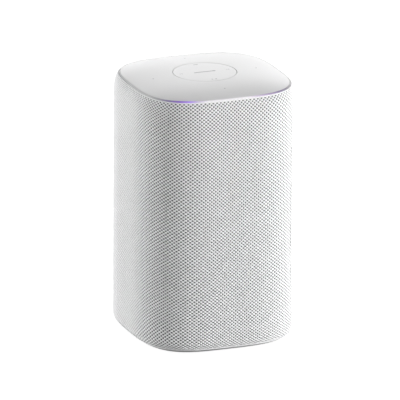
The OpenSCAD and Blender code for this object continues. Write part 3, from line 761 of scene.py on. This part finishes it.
# ============================================================ cover, key, light strip, base band
def cover():
    """Crowned cover with a rounded rim and a small chamfer at the key's hole, on an underside of its own."""
    m = 480
    t = even_angles(m)
    qx, qy = sec(RIM_INS, t)
    R = np.hypot(qx, qy)
    hole = KEY_R + KEY_GAP
    drop = RIM_Z - float(shoulder(shoulder_k(RIM_INS))[1])
    prof = []                                    # (share along, inward shift, downward shift)
    for d, z in ((0.0, 1.6), (0.0, 0.1), (-0.02, 0.04), (-0.06, 0.01), (-0.12, 0.0)):
        prof.append((0.0, d, z))
    for s in np.concatenate([[0.02], np.linspace(0.05, 0.9, 24), [0.93, 0.955, 0.975, 0.988]]):
        prof.append((s, 0, 0))
    for d, z in ((0.30, 0.0), (0.12, 0.03), (0.03, 0.1), (0.0, 0.2), (0.12, 0.45), (1.0, 1.25), (2.1, 2.1)):
        prof.append((1.0, d, z))
    for s in (0.9, 0.6, 0.3, 0.0):
        prof.append((s, 0, 2.2))
    pts = []
    for s, d, z in prof:
        r0 = hole + (R - hole) * s
        r = r0 - d
        pts.append(np.stack([qx / R * r, qy / R * r, crown_z(r0 / R) - drop * (r0 / R) ** 8 - z], 1))
    n = len(pts)
    i = np.arange(m)
    l = (i + 1) % m
    quads = [np.stack([j * m + i, ((j + 1) % n) * m + i, ((j + 1) % n) * m + l, j * m + l], 1) for j in range(n)]
    ob = make_mesh("cover_dome", np.concatenate(pts), np.concatenate(quads))
    fix_normals(ob)
    sharp_by_angle(ob, 40)
    return ob


def satin_cover(name, rough=0.36):
    """Pale satin cover plastic: very fine grain, faint cloudiness and a few hairline wipe marks."""
    k = Nodes(name)
    cloud = k.noise(22, 4, 0.6)
    grain = k.noise(3000, 2, 0.5)
    wipe = k.ramp(k.noise(240, 3, 0.5, stretch=(1, 14, 1)), [(0.62, 0.0), (0.8, 1.0)])
    k.set(Base_Color=k.mix(cloud, (0.665, 0.665, 0.670), (0.695, 0.695, 0.700)),
          Roughness=k.math("ADD", k.math("MULTIPLY_ADD", cloud, 0.07, rough - 0.03), k.math("MULTIPLY", wipe, 0.04)),
          Normal=k.bump(grain, 0.3, 0.000015))
    k.bsdf.inputs["Specular IOR Level"].default_value = 0.5
    return k.m


COVER = satin_cover("cover_satin")
MARK = moulded("mark_print", (0.30, 0.30, 0.315), 0.5, grain=0.00001, vary=0.06)
MARK_SOFT = moulded("mark_print_soft", (0.44, 0.44, 0.455), 0.5, grain=0.00001, vary=0.06)

top = cover()
top.data.materials.append(COVER)
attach(top, "housing")
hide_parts("top_panel")

KR = 58.5
key_prof = [(0.0, float(crown_z(0)))]
for r in np.linspace(1.2, KEY_R - 0.5, 20):
    key_prof.append((float(r), float(crown_z(r / KR))))
edge = float(crown_z(KEY_R / KR))
key_prof += [(KEY_R - 0.12, edge + 0.0), (KEY_R - 0.04, edge - 0.02), (KEY_R, edge - 0.08), (KEY_R, 194.9), (KEY_R, 194.7), (KEY_R + 1.4, 194.7),
             (KEY_R + 1.6, 194.5), (KEY_R + 1.6, 193.7), (KEY_R + 1.4, 193.5), (22.0, 193.5), (12.0, 193.5), (0.0, 193.5)]
parts = [lathe("key_cap", key_prof, 240), lathe("key_plunger", [(0, 194), (1.6, 194), (1.6, 191.8), (1.3, 191.4), (0, 191.4)], 48)]
for a in (30, 150, 270):
    x, y = 19 * math.cos(math.radians(a)), 19 * math.sin(math.radians(a))
    parts.append(lathe("key_pin", [(0, 194), (1.6, 194), (1.6, 185.0), (1.2, 184.6), (0, 184.6)], 48, x0=x, y0=y))
key = join("key_cap", parts)
key.data.materials.append(satin_cover("key_satin", 0.34))
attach(key, "key")
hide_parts("action_key")


def decal(name, outline_pts, holes=(), lift=0.03, thick=0.12, crown_r=None):
    """A flat printed shape with its own thickness that follows the crowned surface; outline in plan, mm."""
    import bmesh
    bm = bmesh.new()
    vs = [bm.verts.new((x, y, 0)) for x, y in outline_pts]
    bm.faces.new(vs)
    xs = [p[0] for p in outline_pts]
    ys = [p[1] for p in outline_pts]
    for lo_, hi_, nrm_ in ((min(xs), max(xs), (1, 0, 0)), (min(ys), max(ys), (0, 1, 0))):
        for c_ in np.arange(lo_ + 0.8, hi_ - 0.4, 0.8):
            bmesh.ops.bisect_plane(bm, geom=bm.verts[:] + bm.edges[:] + bm.faces[:], plane_co=tuple(x * c_ for x in nrm_), plane_no=nrm_)
    bmesh.ops.triangulate(bm, faces=list(bm.faces))
    r = bmesh.ops.extrude_face_region(bm, geom=list(bm.faces))
    top_verts = [v for v in r["geom"] if isinstance(v, bmesh.types.BMVert)]
    tops = set(top_verts)
    for v in bm.verts:
        x, y = v.co.x, v.co.y
        rad = math.hypot(x, y)
        ang = math.atan2(y, x)
        if crown_r:
            zz = float(crown_z(rad / crown_r))
        else:
            sx, sy = sec(RIM_INS, np.array(ang))
            R = float(np.hypot(sx, sy))
            dr = RIM_Z - float(shoulder(shoulder_k(RIM_INS))[1])
            zz = float(crown_z(rad / R)) - dr * (rad / R) ** 8
        v.co.z = zz + (lift if v in tops else lift - thick)
    bmesh.ops.recalc_face_normals(bm, faces=bm.faces)
    bm.transform(Matrix.Scale(MM, 4))
    me = bpy.data.meshes.new(name)
    bm.to_mesh(me)
    bm.free()
    ob = bpy.data.objects.new(name, me)
    scene.collection.objects.link(ob)
    return ob


def disc_pts(x, y, r, m=28):
    return [(x + r * math.cos(2 * math.pi * i / m), y + r * math.sin(2 * math.pi * i / m)) for i in range(m)]


def bar_pts(x, y, w, h, a=0.0, m=8):
    """A bar with round ends, w long and h high, turned by a degrees."""
    r = h / 2
    pts = [(w / 2 - r + r * math.cos(b), r * math.sin(b)) for b in np.linspace(-math.pi / 2, math.pi / 2, m)]
    pts += [(-w / 2 + r + r * math.cos(b), r * math.sin(b)) for b in np.linspace(math.pi / 2, 1.5 * math.pi, m)]
    c, s = math.cos(math.radians(a)), math.sin(math.radians(a))
    return [(x + px * c - py * s, y + px * s + py * c) for px, py in pts]


def arc_pts(r0, r1, a0, a1, m=14):
    a = np.radians(np.linspace(a0, a1, m))
    return [(r1 * math.cos(b), r1 * math.sin(b)) for b in a] + [(r0 * math.cos(b), r0 * math.sin(b)) for b in a[::-1]]


# plain touch marks on the key: a centre bar, a dash at twelve o'clock, two dots at six, short strokes at three and nine
marks = [
    decal("mark_bar", bar_pts(0, 0, 16.5, 1.15), crown_r=KR),
    decal("mark_bar_end", bar_pts(6.9, 0, 2.9, 1.5), lift=0.05, crown_r=KR),
    decal("mark_top", bar_pts(0.2, 19.0, 3.6, 0.9), crown_r=KR),
    decal("mark_dot_a", disc_pts(-1.5, -19.0, 0.62), crown_r=KR),
    decal("mark_dot_b", disc_pts(1.5, -19.0, 0.62), crown_r=KR),
]
soft_marks = [
    decal("mark_left_a", bar_pts(-18.6, 0.9, 2.0, 0.55, 90), crown_r=KR),
    decal("mark_left_b", bar_pts(-17.2, 0.9, 2.0, 0.55, 90), crown_r=KR),
    decal("mark_right_a", bar_pts(18.6, 0.0, 2.2, 0.55, 90), crown_r=KR),
    decal("mark_right_b", bar_pts(17.2, 0.0, 1.3, 0.55, 90), crown_r=KR),
]
mark_ob = join("key_marks", marks)
mark_ob.data.materials.append(MARK)
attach(mark_ob, "key")
soft_ob = join("key_marks_soft", soft_marks)
soft_ob.data.materials.append(MARK_SOFT)
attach(soft_ob, "key")
# small sound holes of the microphones, four on the cover
holes = join("microphone_holes", [decal("mic_%d" % i, disc_pts(40 * math.cos(a), 40 * math.sin(a), 0.55), lift=0.012)
                                  for i, a in enumerate(np.radians([0, 90, 180, 270]))])
holes.data.materials.append(moulded("hole_shadow", (0.36, 0.36, 0.37), 0.8, grain=0.00001, vary=0.1))
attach(holes, "housing")


def strip_material():
    """Frosted light guide. It glows violet to the left of the front corner, pale lilac along the front, and is off elsewhere."""
    k = Nodes("light_guide")
    sp = k.n("ShaderNodeSeparateXYZ", i0=k.coords())
    # angle round the body, 0 at the front (-Y), growing towards +X, in turns
    ang = k.math("ARCTAN2", sp.outputs[0], k.math("MULTIPLY", sp.outputs[1], -1.0))
    a = k.math("MULTIPLY_ADD", ang, 1 / (2 * math.pi), 0.5)
    d = lambda deg: deg / 360 + 0.5
    off = (0.55, 0.55, 0.555)
    body = k.ramp(a, [
        (0.0, off), (d(-60), off), (d(-51), (0.40, 0.39, 0.43)), (d(-44), (0.22, 0.20, 0.27)), (d(-38), (0.16, 0.09, 0.26)),
        (d(-31), (0.22, 0.14, 0.33)), (d(-25), (0.36, 0.33, 0.39)), (d(-18), (0.52, 0.51, 0.52)), (d(10), (0.50, 0.49, 0.50)),
        (d(18), (0.38, 0.34, 0.40)), (d(26), (0.25, 0.21, 0.29)), (d(35), (0.20, 0.16, 0.25)), (d(44), (0.26, 0.25, 0.29)),
        (d(56), off), (1.0, off)])
    dark = (0.0, 0.0, 0.0)
    glow = k.ramp(a, [
        (0.0, dark), (d(-52), dark), (d(-44), (0.05, 0.02, 0.13)), (d(-38), (0.11, 0.04, 0.33)), (d(-31), (0.22, 0.12, 0.54)),
        (d(-25), (0.26, 0.22, 0.32)), (d(-18), (0.28, 0.27, 0.29)), (d(10), (0.28, 0.27, 0.29)), (d(18), (0.24, 0.20, 0.27)),
        (d(26), (0.12, 0.08, 0.17)), (d(35), (0.04, 0.03, 0.08)), (d(46), dark), (1.0, dark)])
    n = k.noise(700, 3)
    k.set(Base_Color=k.mix(k.math("MULTIPLY", n, 0.12), body, (0.30, 0.30, 0.32)), Roughness=0.42, Normal=k.bump(n, 0.2, 0.00002),
          Emission_Color=glow, Emission_Strength=1.0)
    return k.m


ka, kb = shoulder_k(STRIP_INS + 0.5), shoulder_k(RIM_INS - 0.15)
face_pts = [tuple(float(v) for v in shoulder(ka + (kb - ka) * f, 0.0)) for f in np.linspace(0, 1, 7)]
strip_prof = [(13.5, 188.4), (10.3, 188.4), (9.2, 190), (5.3, 190.7), (3.6, 191.4), (3.5, 192.6), (3.9, 192.8)] + face_pts + [(6.95, 191.85), (13.5, 191.85)]
strip = band("light_strip", strip_prof)
strip.data.materials.append(strip_material())
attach(strip, "housing")
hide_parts("light_ring")

k0 = tuck_k(0.8)
k1 = KH + math.radians(0.8)
base_prof = [(17, 0.8)] + [tuple(float(v) for v in tuck(k0 + (k1 - k0) * i / 16)) for i in range(17)]
base_prof += [tuple(float(v) for v in tuck(k1 * (1 - i / 10), KNIT_T + 0.25)) for i in range(11)]
base_prof += [(5.6, TK_V), (5.6, 8.1), (17, 8.1)]
base_band = band("base_band", base_prof)
base_band.data.materials.append(SLOT_MATERIALS["base_plastic"])
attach(base_band, "housing")
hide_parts("base_ring")

# ============================================================ rear panel and inlet
IN_Z = 26.0


def rounded_loop(w, h, r, m=10):
    pts = []
    for cx, cz, a in ((w / 2 - r, h / 2 - r, 0), (-w / 2 + r, h / 2 - r, 90), (-w / 2 + r, -h / 2 + r, 180), (w / 2 - r, -h / 2 + r, 270)):
        for b in np.radians(np.linspace(a, a + 90, m)):
            pts.append((cx + r * math.cos(b), cz + r * math.sin(b)))
    return np.array(pts)


def frame_plate(name, rings):
    """A closed rounded frame: each ring is (width, height, radius, y); rings go round the section and close on the first."""
    m = 40
    pts = []
    for w, h, r, y in rings:
        p = rounded_loop(w, h, r)
        pts.append(np.stack([p[:, 0], np.full(m, y), p[:, 1] + IN_Z], 1))
    n = len(pts)
    i = np.arange(m)
    l = (i + 1) % m
    quads = [np.stack([j * m + i, ((j + 1) % n) * m + i, ((j + 1) % n) * m + l, j * m + l], 1) for j in range(n)]
    ob = make_mesh(name, np.concatenate(pts), np.concatenate(quads))
    fix_normals(ob)
    sharp_by_angle(ob, 40)
    return ob


lo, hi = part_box("rear_panel")
y_in = lo.y / MM
plate = frame_plate("rear_plate", [
    (34, 24, 5, y_in), (34, 24, 5, 60.6), (33.8, 23.8, 4.9, 60.85), (33.3, 23.3, 4.65, 60.98), (23.4, 14.4, 4.6, 60.98),
    (22.8, 13.8, 4.35, 60.85), (22.4, 13.4, 4.2, 60.4), (22.4, 13.4, 4.2, y_in)])
plate.data.materials.append(SLOT_MATERIALS["base_plastic"])
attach(plate, "housing")
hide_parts("rear_panel")

# ============================================================ foot
foot_prof = [(23.0, 0.35), (23.25, 0.08), (23.6, 0.0), (25.6, 0.0), (25.9, 0.3), (27.1, 0.3), (27.4, 0.0), (29.4, 0.0), (29.75, 0.08), (30.0, 0.35),
             (30.0, 2.3), (23.0, 2.3)]
foot = band("foot_tread", foot_prof, 360)
foot.data.materials.append(SLOT_MATERIALS["foot_rubber"])
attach(foot, "housing")
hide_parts("rubber_foot")


# ============================================================ rings and spring that flex
def ring_sectors(node, slot, outer, inner, place, r_in, r_out, sectors, steps=6):
    """The ring round a diaphragm, cut into sectors that each span from the fixed frame to the moving part.
    outer and inner are its two faces as (radius, depth) lines of one length; the real ring is held by the frame beyond
    r_out and carried whole by the moving part inside r_in."""
    half = math.pi / sectors
    k = len(outer)
    n = 2 * k
    loop = list(outer) + list(inner)[::-1]
    i = np.arange(n)
    l = (i + 1) % n
    c = np.arange(k - 1)
    made = []
    for s in range(sectors):
        mid = 2 * half * s
        pts = [place(r, a, d) for a in mid + np.linspace(-half, half, steps + 1) for r, d in loop]
        e = steps * n
        quads = [np.stack([j * n + i, (j + 1) * n + i, (j + 1) * n + l, j * n + l], 1) for j in range(steps)]
        quads.append(np.stack([c, c + 1, n - 2 - c, n - 1 - c], 1))
        quads.append(np.stack([e + n - 1 - c, e + n - 2 - c, e + c + 1, e + c], 1))
        ob = make_mesh("%s_arc_%02d" % (node, s + 1), pts, np.concatenate(quads))
        fix_normals(ob)
        sharp_by_angle(ob, 40)
        ob.data.materials.append(SLOT_MATERIALS[slot])
        d0 = outer[0][1]
        [v * MM for v in place(r_out * math.cos(half), mid, d0)]
        [v * MM for v in place(r_in, mid, d0)]
        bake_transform(ob)
        made.append(ob)
    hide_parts(node)
    return made


def facing_front(node, front_most):
    """Puts (radius, angle, depth) round the node's own axis; front_most is the depth of its foremost point."""
    lo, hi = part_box(node)
    x, y, z = (lo.x + hi.x) / 2 / MM, lo.y / MM - front_most, (lo.z + hi.z) / 2 / MM
    return lambda r, a, d: (x + r * math.cos(a), y + d, z - r * math.sin(a))


def facing_side(node, side, front_most):
    lo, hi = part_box(node)
    x = (hi.x if side > 0 else -lo.x) / MM + front_most
    y, z = (lo.y + hi.y) / 2 / MM, (lo.z + hi.z) / 2 / MM
    return lambda r, a, d: (side * (x - d), y + r * math.sin(a), z + r * math.cos(a))


def roll(r, d, wide, deep, n=16):
    return [(r + wide * math.cos(t), d - deep * math.sin(t)) for t in np.linspace(0, math.pi, n + 1)]


ring_sectors("woofer_surround", "surround_rubber",
             [(33.4, -3.4)] + roll(30.4, -2.8, 2.5, 3.2) + [(27.4, -2.8), (26.6, -2.8)],
             [(33.4, -2.1)] + roll(30.4, -2.1, 1.9, 2.4) + [(27.6, -1.6), (26.6, -1.6)],
             facing_front("woofer_surround", -6.0), 27.8, 33.3, 24, 3)
waves = [(28.9 + (13.15 - 28.9) * t, 20.2 + 0.8 * math.sin(10 * math.pi * (1 - t))) for t in np.linspace(0, 1, 61)]
ring_sectors("woofer_spider", "spider_cloth", waves, [(r, d + 0.6) for r, d in waves],
             facing_front("woofer_spider", 19.4), 14.2, 28.6, 8)
for side in ("left", "right"):
    ring_sectors("tweeter_%s_surround" % side, "surround_rubber",
                 roll(9.4, 0.6, 1.2, 1.2, 12), roll(9.4, 1.0, 0.85, 1.15, 12),
                 facing_front("tweeter_%s_surround" % side, -0.6), 8.4, 10.5, 8)
    ring_sectors("radiator_%s_surround" % side, "surround_rubber",
                 [(31, 0.9)] + roll(27.3, 0.9, 2.8, 3.0) + [(23.5, 0.9)], [(31, 0.2)] + roll(27.3, 0.2, 3.4, 3.0) + [(23.5, 0.2)],
                 facing_side("radiator_%s_surround" % side, 1 if side == "right" else -1, -2.8), 24.0, 30.9, 12, 5)

lo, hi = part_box("key_spring")
z0, tall = lo.z / MM, (hi.z - lo.z) / MM
spring = lathe("key_return_dome", [(25.4, z0), (27.6, z0), (27.55, z0 + 0.6), (27.3, z0 + 1.1), (24.5, z0 + tall - 0.3), (24.2, z0 + tall), (22.9, z0 + tall),
                                   (23.0, z0 + tall - 0.4), (25.3, z0 + 1.9), (25.4, z0 + 1.3)], 144)
spring.data.materials.append(SLOT_MATERIALS["silicone"])
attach(spring, "housing")
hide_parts("key_spring")
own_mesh(spring)


# ============================================================ stage and light
def stage():
    me = bpy.data.meshes.new("floor")
    s = 30.0
    me.from_pydata([(-s, -s, 0), (s, -s, 0), (s, s, 0), (-s, s, 0)], [], [(0, 1, 2, 3)])
    ob = bpy.data.objects.new("floor", me)
    scene.collection.objects.link(ob)
    k = Nodes("floor_white")
    n = k.noise(3, 3)
    k.set(Base_Color=k.mix(n, (0.30, 0.30, 0.30), (0.32, 0.32, 0.32)), Roughness=0.9, Emission_Color=(1, 1, 1), Emission_Strength=0.9)
    k.bsdf.inputs["Specular IOR Level"].default_value = 0.0
    me.materials.append(k.m)
    # the object's own light from below comes from the world's lower half, so the white floor doesn't wash out the tuck
    ob.visible_diffuse = ob.visible_glossy = False
    return ob


stage()
world = bpy.data.worlds.new("studio")
scene.world = world
world.use_nodes = True
wt = world.node_tree
bg = wt.nodes["Background"]
tc = wt.nodes.new("ShaderNodeTexCoord")
sep = wt.nodes.new("ShaderNodeSeparateXYZ")
wt.links.new(tc.outputs["Generated"], sep.inputs[0])
half = wt.nodes.new("ShaderNodeMath")
half.operation = "MULTIPLY_ADD"
half.inputs[1].default_value, half.inputs[2].default_value = 0.5, 0.5
wt.links.new(sep.outputs[2], half.inputs[0])
rp = wt.nodes.new("ShaderNodeValToRGB")
wt.links.new(half.outputs[0], rp.inputs[0])
el = rp.color_ramp.elements
LOW, HORIZON, HIGH = 0.24, 2.4, 0.23
WORLD = [(0.0, LOW), (0.49, LOW), (0.505, HORIZON), (0.55, HORIZON), (0.57, HIGH), (1.0, HIGH)]
while len(el) < len(WORLD):
    el.new(0.5)
for e_, (p_, v_) in zip(el, WORLD):
    e_.position, e_.color = p_, (v_, v_, v_, 1)
wt.links.new(rp.outputs[0], bg.inputs[0])
# a dark flag in front of the left corner, where the studio throws least light
flag = wt.nodes.new("ShaderNodeVectorMath")
flag.operation = "DOT_PRODUCT"
flag.inputs[1].default_value = (math.sin(math.radians(-48)), -math.cos(math.radians(-48)), 0.0)
wt.links.new(tc.outputs["Generated"], flag.inputs[0])
fade = wt.nodes.new("ShaderNodeMapRange")
fade.interpolation_type = "SMOOTHSTEP"
for socket, v_ in (("From Min", 0.78), ("From Max", 0.98), ("To Min", 1.0), ("To Max", 0.3)):
    fade.inputs[socket].default_value = v_
wt.links.new(flag.outputs["Value"], fade.inputs["Value"])
wt.links.new(fade.outputs["Result"], bg.inputs[1])


def softbox(name, az, el, dist, size, power, target=(0, 0, 0.1), size_y=None):
    d = bpy.data.lights.new(name, "AREA")
    d.shape = "RECTANGLE"
    d.size, d.size_y = size, size_y or size
    d.energy = power
    ob = bpy.data.objects.new(name, d)
    scene.collection.objects.link(ob)
    a, e = math.radians(az), math.radians(el)
    b = Vector((math.sin(a) * math.cos(e), -math.cos(a) * math.cos(e), math.sin(e)))
    t = Vector(target)
    ob.location = t + b * dist
    ob.rotation_mode = "QUATERNION"
    ob.rotation_quaternion = (-b).to_track_quat("-Z", "Y")
    return ob


softbox("key_front", 15, 8, 2.0, 0.8, 13.0, size_y=1.1)
softbox("key_side", 50, 8, 2.0, 0.8, 44.0, size_y=1.1)
softbox("fill_left", -100, 8, 2.0, 0.8, 13.0, size_y=1.1)
softbox("fill_back_left", -120, 8, 2.0, 0.8, 24.5, size_y=1.1)
softbox("back_low", 158, 11, 2.2, 1.4, 5.3, size_y=0.6)
softbox("back_high", 158, 24, 2.2, 1.4, 7.0, size_y=0.6)
softbox("top_soft", 150, 50, 1.8, 1.0, 1.5)

vs = scene.view_settings
vs.view_transform = "Standard"
vs.look = "None"
vs.exposure, vs.gamma = 0.0, 1.0
